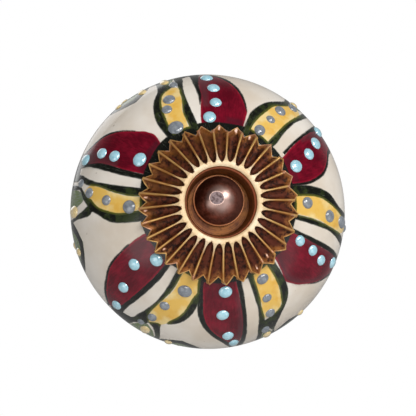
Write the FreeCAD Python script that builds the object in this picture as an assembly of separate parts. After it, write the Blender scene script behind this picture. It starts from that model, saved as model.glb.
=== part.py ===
import FreeCAD, Part
import math
import os
from FreeCAD import Vector

# Hand-painted ceramic cabinet knob with a fluted metal rosette, in millimetres.
#
# The knob is drawn as it sits on a drawer front. The origin is the centre of the back plate's rim,
# where it meets the drawer. The knob's face looks along -Y, its screw runs back along +Y, and +Z is up.
# "Out" is the distance in front of the drawer's face, so a point at out 10 lies at Y = -10.

# Screw: one turned piece with a low domed head and a long shank, clamped by nuts from behind.
shank_radius = 1.95
shank_reach = 40.0
shank_tip_chamfer = 0.5
head_radius = 3.7
head_edge = 0.55
head_undercut = 0.25
head_shoulder_radius = 2.75
head_shoulder_height = 1.75
head_crown_radius = 0.85
head_height = 2.9

# Ceramic body: cast and fired in one piece, round in front and drawn in to a foot behind.
# A crown is flatter than the body is round, so its radius exceeds the body's by a little.
body_radius = 20.0
front_shoulder_radius = 11.5
front_crown_excess = 4.0
back_shoulder_radius = 10.0
back_crown_excess = 2.0
seat_radius = 10.4
foot_radius = 8.7
foot_chamfer = 0.5
bore_radius = 2.5

# Back plate: a spun metal cup that spreads the pull over the drawer front.
plate_radius = 11.0
plate_height = 4.6
plate_top_radius = 9.2
plate_waist_height = 2.6
plate_rim_height = 1.1
plate_rim_inner_radius = 8.4
plate_hollow_radius = 7.6
plate_wall = 1.2
plate_edge_chamfer = 0.35
plate_hole_slack = 0.2

# Rosette: a stamped washer with a deep cup for the screw's head, a polished crest and a fluted skirt.
sheet = 0.5
cup_floor_radius = 4.45
cup_lip_radius = 5.05
cup_lip_drop = 0.45
crest_inner_radius = 5.35
crest_radius = 6.1
crest_height = 3.8
rim_height = 0.95
rosette_slack = 0.65
rosette_drop = 0.6

# Flutes pressed into the skirt, as hollows with thin ridges between them.
flute_count = 32
flute_nose_radius = 6.0
flute_full_radius = 7.4
flute_full_depth = 0.5
flute_rim_depth = 0.85
flute_floor_share = 0.42
ridge_width = 0.18
flute_phase = 1.75
flute_swing = 0.65
flute_swing_towards = 197.0

# Teeth of the rosette's edge: fewer than the flutes, and crowded towards one side.
tooth_count = 29
tooth_tip_radius = 11.75
tooth_root_radius = 10.55
tooth_phase = 6.5
tooth_swing = 6.3
tooth_swing_towards = 156.0

# Fasteners behind: a thin nut in the back plate's hollow, then a washer and nut for the drawer.
nut_across_flats = 7.0
nut_chamfer = 0.35
lock_nut_height = 2.2
fixing_nut_height = 3.2
thread_clearance = 0.04
washer_radius = 4.5
washer_hole_radius = 2.15
washer_thickness = 0.8
panel_thickness = 19.0

AXIS_START = Vector(0, 0, 0)
AXIS = Vector(0, 1, 0)


def crown_centre_depth(shoulder_radius, crown_radius):
    """How far past the widest ring the centre of a crown arc lies, where it meets the shoulder arc."""
    return math.sqrt((crown_radius - shoulder_radius) ** 2 - (body_radius - shoulder_radius) ** 2)


def crown_depth(shoulder_radius, crown_radius, end_radius):
    """The distance from the widest ring to the place where the crown has narrowed to end_radius."""
    reach = math.sqrt(crown_radius ** 2 - end_radius ** 2)
    return reach - crown_centre_depth(shoulder_radius, crown_radius)


# Sizes that follow from those above. Places are distances out from the drawer's face.
front_crown_radius = body_radius + front_crown_excess
back_crown_radius = body_radius + back_crown_excess
foot_out = plate_height
widest_out = foot_out + crown_depth(back_shoulder_radius, back_crown_radius, foot_radius)
seat_out = widest_out + crown_depth(front_shoulder_radius, front_crown_radius, seat_radius)
head_seat_out = seat_out + sheet
plate_web_out = plate_height - plate_wall
washer_out = -panel_thickness
nut_bore_radius = shank_radius + thread_clearance


def at(radius, out):
    """A point of a turned profile, at a radius from the screw's axis."""
    return Vector(radius, -out, 0)


def outline(points):
    """The straight edges that join the points in turn."""
    return [Part.LineSegment(at(*start), at(*end)).toShape() for start, end in zip(points, points[1:])]


def turned(edges):
    """Turn a closed profile once round the screw's axis."""
    profile = Part.Face(Part.Wire(edges))
    return profile.revolve(AXIS_START, AXIS, 360)


def compass(radius, angle, out=0.0):
    """A point at an angle turned clockwise from the top, as seen from the front."""
    turn = math.radians(angle)
    return Vector(radius * math.sin(turn), -out, radius * math.cos(turn))


def patterned(tool, angles):
    """Copies of a tool drawn at the top, turned clockwise by each angle, as seen from the front."""
    copies = []
    for angle in angles:
        copy = tool.copy()
        copy.rotate(AXIS_START, AXIS, angle)
        copies.append(copy)
    return copies


def spaced(step, count, phase, swing, towards):
    """An angle in a ring whose centre strayed a little: it lags on one side and crowds on the other."""
    angle = 360.0 * step / count
    return phase + angle + swing * math.cos(math.radians(angle - towards))


def domed_side(shoulder_radius, crown_radius, end_radius, side):
    """A small shoulder arc from the widest ring, then a tangent crown arc centred on the axis.

    Side is 1 towards the knob's face and -1 towards its foot.
    """
    centre_depth = crown_centre_depth(shoulder_radius, crown_radius)
    lean = math.atan2(body_radius - shoulder_radius, centre_depth)
    end_lean = math.asin(end_radius / crown_radius)

    def shoulder_point(share):
        turn = share * (math.pi / 2 - lean)
        radius = body_radius - shoulder_radius + shoulder_radius * math.cos(turn)
        return at(radius, widest_out + side * shoulder_radius * math.sin(turn))

    def crown_point(angle):
        depth = crown_radius * math.cos(angle) - centre_depth
        return at(crown_radius * math.sin(angle), widest_out + side * depth)

    shoulder = Part.Arc(shoulder_point(0), shoulder_point(0.5), shoulder_point(1)).toShape()
    crown = Part.Arc(shoulder_point(1), crown_point((lean + end_lean) / 2), crown_point(end_lean)).toShape()
    return [shoulder, crown]


def ceramic_knob():
    front = domed_side(front_shoulder_radius, front_crown_radius, seat_radius, 1)
    back = domed_side(back_shoulder_radius, back_crown_radius, foot_radius, -1)
    inside = outline([(seat_radius, seat_out), (bore_radius, seat_out),
                      (bore_radius, foot_out), (foot_radius, foot_out)])
    body = turned(front + inside + back[::-1])
    foot_edges = [edge for edge in body.Edges if isinstance(edge.Curve, Part.Circle)
                  and abs(edge.Curve.Radius - foot_radius) < 1e-6]
    return body.makeChamfer(foot_chamfer, foot_edges)


def back_plate():
    hole_radius = shank_radius + plate_hole_slack
    profile = outline([
        (hole_radius, plate_web_out),
        (hole_radius, plate_height),
        (plate_top_radius - plate_edge_chamfer, plate_height),
        (plate_top_radius, plate_height - plate_edge_chamfer),
        (plate_top_radius, plate_waist_height),
        (plate_radius - plate_edge_chamfer, plate_rim_height),
        (plate_radius, plate_rim_height - plate_edge_chamfer),
        (plate_radius, 0),
        (plate_rim_inner_radius, 0),
        (plate_hollow_radius, plate_web_out),
        (hole_radius, plate_web_out)])
    return turned(profile)


def dome_screw():
    """The head's shoulder bends over to a small flat, where it was parted off."""
    edge_out = head_seat_out + head_edge
    tip_out = head_seat_out + head_height
    crown = Part.Arc(at(head_radius, edge_out), at(head_shoulder_radius, head_seat_out + head_shoulder_height),
                     at(head_crown_radius, tip_out)).toShape()
    rest = outline([
        (head_crown_radius, tip_out),
        (0, tip_out),
        (0, -shank_reach),
        (shank_radius - shank_tip_chamfer, -shank_reach),
        (shank_radius, shank_tip_chamfer - shank_reach),
        (shank_radius, head_seat_out),
        (head_radius - head_undercut, head_seat_out),
        (head_radius, head_seat_out + head_undercut),
        (head_radius, edge_out)])
    return turned([crown] + rest)


def ridge_out(radius):
    """The skirt's ridges fall in a straight line from the crest to the teeth."""
    share = (radius - crest_radius) / (tooth_tip_radius - crest_radius)
    return seat_out + crest_height - share * (crest_height - rim_height)


def flute_depth(radius):
    """A flute is deep soon after its nose, then deepens slowly towards the teeth."""
    share = (radius - flute_full_radius) / (tooth_tip_radius - flute_full_radius)
    return flute_full_depth + share * (flute_rim_depth - flute_full_depth)


def flute_half_width(radius):
    return radius * math.tan(math.pi / flute_count) - ridge_width / 2


def side_run(radius):
    """How far a flute's side leans inwards for each millimetre of its depth."""
    return flute_half_width(radius) * (1 - flute_floor_share) / flute_depth(radius)


def across(corners, radius):
    """A closed section across the top flute, from points given as side step and distance out."""
    points = [Vector(side, -out, radius) for side, out in corners]
    return Part.makePolygon(points + points[:1])


def flute_cutter(past_rim):
    """The hollow of one flute: a pointed nose, then steep sides down to a narrower floor."""
    sections = [Part.Vertex(Vector(0, -ridge_out(flute_nose_radius), flute_nose_radius))]
    for radius in (flute_full_radius, past_rim):
        rise = flute_depth(radius) / 2
        top = flute_half_width(radius) + rise * side_run(radius)
        floor = flute_half_width(radius) * flute_floor_share
        high = ridge_out(radius) + rise
        low = ridge_out(radius) - flute_depth(radius)
        sections.append(across([(-top, high), (-floor, low), (floor, low), (top, high)], radius))
    return Part.makeLoft(sections, True, True)


def ridge_relief(past_rim):
    """The groove behind one ridge, which keeps the pressed sheet at one thickness."""
    sections = []
    for radius in (flute_full_radius, past_rim):
        peak = ridge_out(radius) - 1.3 * sheet
        low = ridge_out(radius) - flute_depth(radius) - 1.5 * sheet
        half = (peak - low) * side_run(radius)
        sections.append(across([(-half, low), (0, peak), (half, low)], radius))
    return Part.makeLoft(sections, True, True)


def dished_blank(past_rim):
    """The dished washer before it is fluted, with a skirt thick enough to hold the flutes."""
    hole_radius = shank_radius + rosette_slack
    floor_out = seat_out + sheet
    crest_out = seat_out + crest_height
    lip_out = crest_out - cup_lip_drop
    lean = (cup_lip_radius - cup_floor_radius) / (lip_out - floor_out)
    wall = sheet * math.hypot(1, lean)
    under_crest = crest_out - sheet
    return turned(outline([
        (hole_radius, seat_out),
        (hole_radius, floor_out),
        (cup_floor_radius, floor_out),
        (cup_lip_radius, lip_out),
        (crest_inner_radius, crest_out),
        (crest_radius, crest_out),
        (past_rim, ridge_out(past_rim)),
        (past_rim, ridge_out(past_rim) - flute_depth(past_rim) - sheet),
        (flute_full_radius, ridge_out(flute_full_radius) - flute_full_depth - sheet),
        (crest_radius, under_crest),
        (cup_floor_radius + wall + lean * (under_crest - floor_out), under_crest),
        (cup_floor_radius + wall - lean * sheet, seat_out),
        (hole_radius, seat_out)]))


def flute_angle(step):
    return spaced(step, flute_count, flute_phase, flute_swing, flute_swing_towards)


def tooth_angle(step):
    return spaced(step, tooth_count, tooth_phase, tooth_swing, tooth_swing_towards)


def toothed_die():
    """The pointed outline that the rosette's edge is cut to."""
    points = []
    for tooth in range(tooth_count):
        points.append(compass(tooth_tip_radius, tooth_angle(tooth)))
        points.append(compass(tooth_root_radius, tooth_angle(tooth + 0.5)))
    edge = Part.makePolygon(points + points[:1])
    return Part.Face(edge).extrude(AXIS * -(seat_out + crest_height + sheet))


def front_rosette():
    """The rosette hangs on the screw by the slack in its hole, so it sits a little low."""
    past_rim = tooth_tip_radius + 1.0
    flutes = [flute_angle(step) for step in range(flute_count)]
    ridges = [flute_angle(step + 0.5) for step in range(flute_count)]
    fluted = dished_blank(past_rim).cut(patterned(flute_cutter(past_rim), flutes))
    sheet_metal = fluted.cut(patterned(ridge_relief(past_rim), ridges))
    rosette = sheet_metal.common(toothed_die())
    rosette.translate(Vector(0, 0, -rosette_drop))
    return rosette.Solids[0]


def hex_nut(front_out, height):
    """A six-sided nut whose corners are turned down at both ends."""
    corner_radius = nut_across_flats / 2 / math.cos(math.pi / 6)
    corners = [compass(corner_radius, 60 * step, front_out) for step in range(7)]
    blank = Part.Face(Part.makePolygon(corners)).extrude(AXIS * height)
    end_radius = corner_radius - nut_chamfer / math.tan(math.pi / 6)
    back_out = front_out - height
    turning = turned(outline([
        (nut_bore_radius, front_out),
        (end_radius, front_out),
        (corner_radius, front_out - nut_chamfer),
        (corner_radius, back_out + nut_chamfer),
        (end_radius, back_out),
        (nut_bore_radius, back_out),
        (nut_bore_radius, front_out)]))
    return blank.common(turning).Solids[0]


def lock_nut():
    return hex_nut(plate_web_out, lock_nut_height)


def fixing_washer():
    back_out = washer_out - washer_thickness
    return turned(outline([
        (washer_hole_radius, washer_out),
        (washer_radius, washer_out),
        (washer_radius, back_out),
        (washer_hole_radius, back_out),
        (washer_hole_radius, washer_out)]))


def fixing_nut():
    return hex_nut(washer_out - washer_thickness, fixing_nut_height)


PIECES = {
    "ceramic_knob": ceramic_knob,
    "front_rosette": front_rosette,
    "dome_screw": dome_screw,
    "back_plate": back_plate,
    "lock_nut": lock_nut,
    "fixing_washer": fixing_washer,
    "fixing_nut": fixing_nut,
}


def main():
    os.makedirs("parts", exist_ok=True)
    for name, make in PIECES.items():
        shape = make()
        shape.exportStep(os.path.join("parts", name + ".step"))
        print(name, "valid:", shape.isValid(), "solids:", len(shape.Solids), "volume:", round(shape.Volume, 1))


main()
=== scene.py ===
# %% [markdown]
# Painted cabinet knob
#
# The object is a glazed ceramic knob, painted by hand with petals, leaves and raised enamel dots.
# A fluted copper rosette covers the hole in its face, and one long screw clamps knob, rosette
# and back plate together. The solids come from the frame, in metres, and keep their place:
# the knob looks along -Y, its screw runs back along +Y, and +Z is up.

# %% Start from the frame
import math

import bmesh
import bpy
import numpy as np
from mathutils import Matrix, Vector


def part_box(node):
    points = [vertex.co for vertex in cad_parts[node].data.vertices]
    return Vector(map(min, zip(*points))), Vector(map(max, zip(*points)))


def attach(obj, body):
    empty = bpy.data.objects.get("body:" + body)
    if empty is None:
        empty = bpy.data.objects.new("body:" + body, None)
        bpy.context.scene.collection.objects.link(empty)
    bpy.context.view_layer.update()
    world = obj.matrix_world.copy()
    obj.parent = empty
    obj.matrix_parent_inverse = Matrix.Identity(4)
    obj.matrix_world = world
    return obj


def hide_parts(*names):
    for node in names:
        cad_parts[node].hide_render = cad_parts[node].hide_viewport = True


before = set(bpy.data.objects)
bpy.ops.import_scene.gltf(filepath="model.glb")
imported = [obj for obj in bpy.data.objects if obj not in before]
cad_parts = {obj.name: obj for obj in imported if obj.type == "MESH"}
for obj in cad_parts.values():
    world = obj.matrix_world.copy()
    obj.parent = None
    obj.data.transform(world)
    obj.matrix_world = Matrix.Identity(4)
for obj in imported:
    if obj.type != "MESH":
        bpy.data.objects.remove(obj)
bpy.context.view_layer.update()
MM = 0.001
BODY = "root"


def faces_out(node):
    """How far out the front and the back of a node lie, in millimetres before the drawer."""
    low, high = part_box(node)
    return -low.y / MM, -high.y / MM


def add_to_scene(name, data):
    made = bpy.data.objects.new(name, data)
    bpy.context.scene.collection.objects.link(made)
    return made


print("frame pieces:", ", ".join(sorted(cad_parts)))


# %% [markdown]
# The camera
#
# The photograph looks at the knob from a little to the left and a little below. The rosette stands
# well forward of the widest ring and still isn't enlarged, so the picture was taken from far off.
# The camera therefore stands 2 m away with a very long lens. Its aim is worked out from the place
# that the widest ring takes in the picture, counted in pixels of a 416 by 416 frame.

# %% Camera
PICTURE = 416
PIXELS_PER_MM = 6.885
CAMERA_AZIMUTH = -6.9
CAMERA_ELEVATION = -6.9
CAMERA_DISTANCE = 2.0
SENSOR_WIDTH = 36.0
BALL_PIXEL_X = 207.62
BALL_PIXEL_Y = 211.66
WIDEST_OUT = 18.17 * MM


def add_camera():
    azimuth = math.radians(CAMERA_AZIMUTH)
    elevation = math.radians(CAMERA_ELEVATION)
    level = math.cos(elevation)
    towards = Vector((math.sin(azimuth) * level, -math.cos(azimuth) * level, math.sin(elevation)))
    turn = towards.to_track_quat("Z", "Y")
    right = turn @ Vector((1, 0, 0))
    up = turn @ Vector((0, 1, 0))
    step = MM / PIXELS_PER_MM
    aim = Vector((0, -WIDEST_OUT, 0))
    aim += right * (PICTURE / 2 - BALL_PIXEL_X) * step
    aim += up * (BALL_PIXEL_Y - PICTURE / 2) * step
    lens = bpy.data.cameras.new("camera")
    lens.sensor_width = SENSOR_WIDTH
    lens.lens = SENSOR_WIDTH * CAMERA_DISTANCE / (PICTURE * step)
    lens.clip_start = 0.01
    lens.clip_end = 20.0
    camera = add_to_scene("camera", lens)
    camera.rotation_mode = "QUATERNION"
    camera.rotation_quaternion = turn
    camera.location = aim + towards * CAMERA_DISTANCE
    bpy.context.scene.camera = camera
    return camera


camera = add_camera()
print("lens:", round(camera.data.lens, 1), "mm")


# %% [markdown]
# Shader maths as plain expressions
#
# A material is a sum of masks. Written as nodes, even a short sum is a page of code, so a wire
# class wraps one socket: adding or multiplying two wires adds the Math node. Colours are
# mixed with the Mix node instead, because a Math node turns a colour grey.

# %% One class for shader maths
class Wire:
    def __init__(self, tree, socket):
        self.tree = tree
        self.socket = socket

    def node(self, kind, settings=None, values=None, output=0):
        """Any node: its settings come first, then the values or wires of its inputs."""
        made = self.tree.nodes.new(kind)
        for name, setting in (settings or {}).items():
            setattr(made, name, setting)
        for place, value in (values or {}).items():
            if isinstance(value, Wire):
                self.tree.links.new(value.socket, made.inputs[place])
            else:
                made.inputs[place].default_value = value
        return Wire(self.tree, made.outputs[output])

    def split(self):
        """The X, Y and Z of a vector, each as a wire."""
        first = self.node("ShaderNodeSeparateXYZ", None, {0: self})
        return [Wire(self.tree, socket) for socket in first.socket.node.outputs]

    def maths(self, operation, first, second=0.0, third=0.0):
        values = {0: first, 1: second, 2: third}
        return self.node("ShaderNodeMath", {"operation": operation}, values)

    def __add__(self, other):
        return self.maths("ADD", self, other)

    def __radd__(self, other):
        return self.maths("ADD", other, self)

    def __sub__(self, other):
        return self.maths("SUBTRACT", self, other)

    def __rsub__(self, other):
        return self.maths("SUBTRACT", other, self)

    def __mul__(self, other):
        return self.maths("MULTIPLY", self, other)

    def __rmul__(self, other):
        return self.maths("MULTIPLY", other, self)

    def larger(self, other):
        return self.maths("MAXIMUM", self, other)

    def size(self):
        return self.maths("ABSOLUTE", self)

    def ramp(self, low, high, start=0.0, end=1.0):
        """A smooth step from start to end, as this value goes from low to high."""
        values = {0: self, 1: low, 2: high, 3: start, 4: end}
        return self.node("ShaderNodeMapRange", {"interpolation_type": "SMOOTHSTEP"}, values)

    def blend(self, plain, covered):
        """A colour: plain where this mask is 0, covered where it is 1."""
        values = {0: self, 6: plain, 7: covered}
        return self.node("ShaderNodeMix", {"data_type": "RGBA"}, values, output=2)

    def noise(self, place, scale, detail=3.0, roughness=0.55):
        """Even noise between about 0.2 and 0.8, at a number of waves for each metre."""
        values = {"Vector": place, "Scale": scale, "Detail": detail, "Roughness": roughness}
        return self.node("ShaderNodeTexNoise", None, values)


def colour(red, green, blue):
    """A colour given as the eye sees it, from 0 to 255, made linear for the shader."""
    linear = []
    for level in (red, green, blue):
        share = level / 255
        linear.append(share / 12.92 if share <= 0.04045 else ((share + 0.055) / 1.055) ** 2.4)
    return (*linear, 1.0)


class Finish:
    """A material with one Principled shader, and a wire to start its graph from."""

    def __init__(self, name, **plain):
        self.material = bpy.data.materials.new(name)
        self.material.use_nodes = True
        self.tree = self.material.node_tree
        self.shader = self.tree.nodes["Principled BSDF"]
        for place, value in plain.items():
            self.shader.inputs[place.replace("_", " ")].default_value = value
        texture = self.tree.nodes.new("ShaderNodeTexCoord")
        self.place = Wire(self.tree, texture.outputs["Object"])

    def attribute(self, name):
        return self.place.node("ShaderNodeAttribute", {"attribute_name": name}, output=2)

    def from_axis(self, drop=0.0):
        """Millimetres from the screw's axis, or from a line that lies lower by the drop."""
        x, y, z = self.place.split()
        raised = z + drop * MM
        squares = x * x + raised * raised
        return squares.maths("SQRT", squares) * (1 / MM)

    def streaks(self, waves, along, detail=4.0):
        """Noise that runs from front to back: fine round the axis, long in the measure along."""
        x, y, z = self.place.split()
        flat = x.node("ShaderNodeCombineXYZ", None, {0: x, 1: 0.0, 2: z})
        ring = x.node("ShaderNodeVectorMath", {"operation": "NORMALIZE"}, {0: flat})
        round_it = x.node("ShaderNodeVectorMath", {"operation": "SCALE"}, {0: ring, "Scale": waves})
        shift = x.node("ShaderNodeCombineXYZ", None, {0: 0.0, 1: along, 2: 0.0})
        place = x.node("ShaderNodeVectorMath", {"operation": "ADD"}, {0: round_it, 1: shift})
        return x.noise(place, 1.0, detail=detail, roughness=0.6)

    def turned(self, across, along=0.0):
        """Marks of a lathe: noise that is the same all the way round the axis."""
        place = self.place.node("ShaderNodeCombineXYZ", None, {0: across, 1: along, 2: 0.0})
        return place.noise(place, 1.0, detail=2.0)

    def feed(self, place, wire):
        self.tree.links.new(wire.socket, self.shader.inputs[place])

    def raise_surface(self, height, depth):
        """Bump, where a height of 1 stands proud by the depth, in metres."""
        values = {"Strength": 1.0, "Distance": depth, "Height": height}
        self.feed("Normal", self.place.node("ShaderNodeBump", None, values))


print("shader helpers are ready")


# %% [markdown]
# The ceramic body's profile
#
# The body was cast in a mould and trimmed, so it is a turned form: in front a flat crown that
# bends into a tighter shoulder, behind the same again, drawn in to a small foot. The painter
# works along that profile. So every ring is named by its arc length, the distance along the
# glaze from the middle of the face, and the paint is laid out in that measure.

# %% Profile of the ceramic, in millimetres
BODY_RADIUS = 20.0
FRONT_SHOULDER = 11.5
FRONT_CROWN = 24.0
BACK_SHOULDER = 10.0
BACK_CROWN = 22.0
SEAT_RADIUS = 10.4
FOOT_RADIUS = 8.7
FOOT_CHAMFER = 0.5
BORE_RADIUS = 2.5
SEAT_LEDGE = 0.6
SEAT_OUT, FOOT_OUT = faces_out("ceramic_knob")


def crown_lean(shoulder, crown):
    """The angle off the axis at which the crown arc runs into the shoulder arc."""
    return math.asin((BODY_RADIUS - shoulder) / (crown - shoulder))


FRONT_LEAN = crown_lean(FRONT_SHOULDER, FRONT_CROWN)
BACK_LEAN = crown_lean(BACK_SHOULDER, BACK_CROWN)
CROWN_END = FRONT_CROWN * FRONT_LEAN
WIDEST = CROWN_END + FRONT_SHOULDER * (math.pi / 2 - FRONT_LEAN)
BACK_CROWN_START = WIDEST + BACK_SHOULDER * (math.pi / 2 - BACK_LEAN)
FOOT_LEAN = math.asin((FOOT_RADIUS + FOOT_CHAMFER * 0.3) / BACK_CROWN)
FOOT_START = BACK_CROWN_START + BACK_CROWN * (BACK_LEAN - FOOT_LEAN)
SEAT_START = FRONT_CROWN * math.asin(SEAT_RADIUS / FRONT_CROWN)
CROWN_CENTRE_OUT = SEAT_OUT - math.sqrt(FRONT_CROWN ** 2 - SEAT_RADIUS ** 2)
WIDEST_PLANE = CROWN_CENTRE_OUT + (FRONT_CROWN - FRONT_SHOULDER) * math.cos(FRONT_LEAN)


def profile_point(arc):
    """The radius, the distance out and the lean of the surface at an arc length."""
    if arc <= CROWN_END:
        lean = arc / FRONT_CROWN
        return FRONT_CROWN * math.sin(lean), CROWN_CENTRE_OUT + FRONT_CROWN * math.cos(lean), lean
    if arc <= WIDEST:
        lean = FRONT_LEAN + (arc - CROWN_END) / FRONT_SHOULDER
        radius = BODY_RADIUS - FRONT_SHOULDER + FRONT_SHOULDER * math.sin(lean)
        return radius, WIDEST_PLANE + FRONT_SHOULDER * math.cos(lean), lean
    if arc <= BACK_CROWN_START:
        lean = math.pi / 2 + (arc - WIDEST) / BACK_SHOULDER
        radius = BODY_RADIUS - BACK_SHOULDER + BACK_SHOULDER * math.sin(lean)
        return radius, WIDEST_PLANE + BACK_SHOULDER * math.cos(lean), lean
    lean = math.pi - BACK_LEAN + (arc - BACK_CROWN_START) / BACK_CROWN
    centre = WIDEST_PLANE + (BACK_CROWN - BACK_SHOULDER) * math.cos(BACK_LEAN)
    return BACK_CROWN * math.sin(lean), centre + BACK_CROWN * math.cos(lean), lean


print("widest ring at arc", round(WIDEST, 2), "and foot at arc", round(FOOT_START, 2))


# %% [markdown]
# Turning a profile
#
# A potter's wheel, a spinning lathe and a screw machine all make the same kind of form, and
# bmesh has it as spin. The profile is a chain of vertices at a radius and a distance out, and a
# full spin merges its last copy with its first. A layer on the vertices rides along, so each
# ring remembers its arc length.

# %% Turned pieces
LENGTH_LAYER = "arc_length"


def ring_chain(mesh, points, closed):
    """Vertices at (radius, out) in millimetres, joined in turn by edges."""
    chain = [mesh.verts.new((point[0] * MM, -point[1] * MM, 0)) for point in points]
    ends = chain[1:] + chain[:1] if closed else chain[1:]
    for start, end in zip(chain, ends):
        mesh.edges.new((start, end))
    return chain


def spin_round(mesh, steps):
    whole = mesh.verts[:] + mesh.edges[:]
    bmesh.ops.spin(mesh, geom=whole, cent=(0, 0, 0), axis=(0, 1, 0), angle=2 * math.pi,
                   steps=steps, use_merge=True)
    bmesh.ops.remove_doubles(mesh, verts=mesh.verts[:], dist=1e-7)
    bmesh.ops.recalc_face_normals(mesh, faces=mesh.faces[:])


def finished_piece(name, mesh, finish, replaced, smooth_angle=35.0):
    """Turn a bmesh into an object that rides on the knob, shades smoothly and has its finish."""
    data = bpy.data.meshes.new(name)
    mesh.to_mesh(data)
    mesh.free()
    piece = add_to_scene(name, data)
    data.materials.append(finish.material)
    data.shade_smooth()
    data.set_sharp_from_angle(angle=math.radians(smooth_angle))
    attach(piece, BODY)
    if replaced:
        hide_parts(replaced)
    triangles = sum(len(face.vertices) - 2 for face in data.polygons)
    print(f"{name}: {triangles} triangles")
    return piece


# %% [markdown]
# The ceramic body
#
# The paint is fine brushwork, so the painted zone gets rings about a fifth of a millimetre
# apart. Behind the leaves the glaze is plain, and the rings are further apart.

# %% Ceramic body
CERAMIC_STEPS = 560
PAINTED_FROM = 10.6
FINE_RING = 0.21
BACK_RING = 0.36
BACK_FROM = 28.2
PLAIN_FROM = 41.0
PLAIN_RING = 0.8


def arc_rings():
    fine = np.arange(PAINTED_FROM, BACK_FROM, FINE_RING)
    behind = np.arange(BACK_FROM, PLAIN_FROM, BACK_RING)
    plain = np.linspace(PLAIN_FROM, FOOT_START, round((FOOT_START - PLAIN_FROM) / PLAIN_RING) + 1)
    return [SEAT_START, *fine[fine > SEAT_START], *behind, *plain]


def ceramic_mesh():
    mesh = bmesh.new()
    layer = mesh.verts.layers.float.new(LENGTH_LAYER)
    arcs = arc_rings()
    outside = [profile_point(arc)[:2] for arc in arcs]
    inside = [(FOOT_RADIUS - FOOT_CHAMFER, FOOT_OUT), (BORE_RADIUS, FOOT_OUT),
              (BORE_RADIUS, SEAT_OUT), (SEAT_RADIUS - SEAT_LEDGE, SEAT_OUT)]
    chain = ring_chain(mesh, outside + inside, closed=True)
    unpainted = [FOOT_START + 1.0] * 2 + [BORE_RADIUS, SEAT_START - SEAT_LEDGE]
    for vertex, arc in zip(chain, arcs + unpainted):
        vertex[layer] = arc
    spin_round(mesh, CERAMIC_STEPS)
    return mesh


glaze = Finish("painted_glaze", Roughness=0.16, IOR=1.5)
knob = finished_piece("painted_knob", ceramic_mesh(), glaze, "ceramic_knob")


# %% [markdown]
# Laying out the brushwork
#
# Each brush mark is a band between a left and a right edge. The painter's eye reads it as a few
# stations from the rosette outwards: at this arc length the mark runs from here to there, in
# degrees clockwise from the top. A smooth curve joins the stations. The script then stores, at
# every vertex, how many millimetres it lies inside the nearest mark of each paint. Strokes that
# run on over the widest ring thin out there, as the brush lifts off.

# %% From stations to distances
def read_layout(piece):
    count = len(piece.data.vertices)
    places = np.empty(count * 3)
    piece.data.vertices.foreach_get("co", places)
    places = places.reshape(-1, 3) / MM
    arcs = np.empty(count)
    piece.data.attributes[LENGTH_LAYER].data.foreach_get("value", arcs)
    turns = np.degrees(np.arctan2(places[:, 0], places[:, 2])) % 360
    return arcs, turns, np.hypot(places[:, 0], places[:, 2])


ARC, TURN, RADIUS = read_layout(knob)


def flowing(at, knots, values):
    """A smooth curve through the values, with the slope at each knot taken from its neighbours."""
    knots = np.asarray(knots, float)
    values = np.asarray(values, float)
    slopes = np.gradient(values, knots)
    at = np.clip(at, knots[0], knots[-1])
    span = np.clip(np.searchsorted(knots, at, side="right") - 1, 0, len(knots) - 2)
    width = knots[span + 1] - knots[span]
    share = (at - knots[span]) / width
    start = (1 + 2 * share) * (1 - share) ** 2 * values[span]
    end = share ** 2 * (3 - 2 * share) * values[span + 1]
    leaving = share * (1 - share) ** 2 * slopes[span] * width
    arriving = share ** 2 * (share - 1) * slopes[span + 1] * width
    return start + end + leaving + arriving


def signed_turn(angle):
    return (angle + 180) % 360 - 180


def inside_band(stations, trail=0.0):
    """Millimetres inside the band at every vertex; its far end thins out over the trail."""
    arcs, lefts, rights = zip(*stations)
    nudge = 0.05
    millimetres = np.radians(1) * RADIUS
    distance = np.minimum(ARC - arcs[0], arcs[-1] + trail - ARC)
    lifted = np.clip((ARC - arcs[-1]) / max(trail, nudge), 0, 1)
    thinned = lifted * (rights[-1] - lefts[-1]) / 2 * millimetres
    for edge, side in ((lefts, 1), (rights, -1)):
        here = flowing(ARC, arcs, edge)
        slope = (flowing(ARC + nudge, arcs, edge) - here) / nudge * millimetres
        across = side * signed_turn(TURN - here) * millimetres
        distance = np.minimum(distance, (across - thinned) / np.sqrt(1 + slope ** 2))
    return distance


# %% From bands to paint
FAR_OUTSIDE = -5.0
TRAIL = 2.4
OVER_THE_EDGE = 24.9
LAP = 0.12


def beside(stations, near, far, start):
    """A brushed line along a band's right side, from near to far millimetres wide."""
    kept = [row for row in stations if row[0] >= start]
    line = []
    for number, (arc, _, right) in enumerate(kept):
        radius = profile_point(arc)[0]
        wide = near + number / (len(kept) - 1) * (far - near)
        line.append((arc, right - math.degrees(LAP / radius), right + math.degrees(wide / radius)))
    return line


def nearest_mark(bands, trails=False):
    """The distance inside the nearest band. A stroke trails off once it is over the edge."""
    nearest = np.full(len(ARC), FAR_OUTSIDE)
    for band in bands:
        trail = TRAIL if trails and band[-1][0] > OVER_THE_EDGE else 0.0
        nearest = np.maximum(nearest, inside_band(band, trail))
    return nearest


def paint(name, distance):
    """Store a distance at each vertex as the layer of one paint."""
    layer = knob.data.attributes.new(name, "FLOAT", "POINT")
    layer.data.foreach_set("value", distance.astype(np.float32))
    print(f"{name} covers {np.mean(distance > 0):.1%} of the vertices")


# %% [markdown]
# The burgundy petals
#
# Six broad petals, each one full brush load. The straight side is on the left, the belly is on
# the right, and the tip bends over towards the back. No two are alike, as in all work done
# freehand. Each row is one station: arc length, left edge, right edge.

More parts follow.
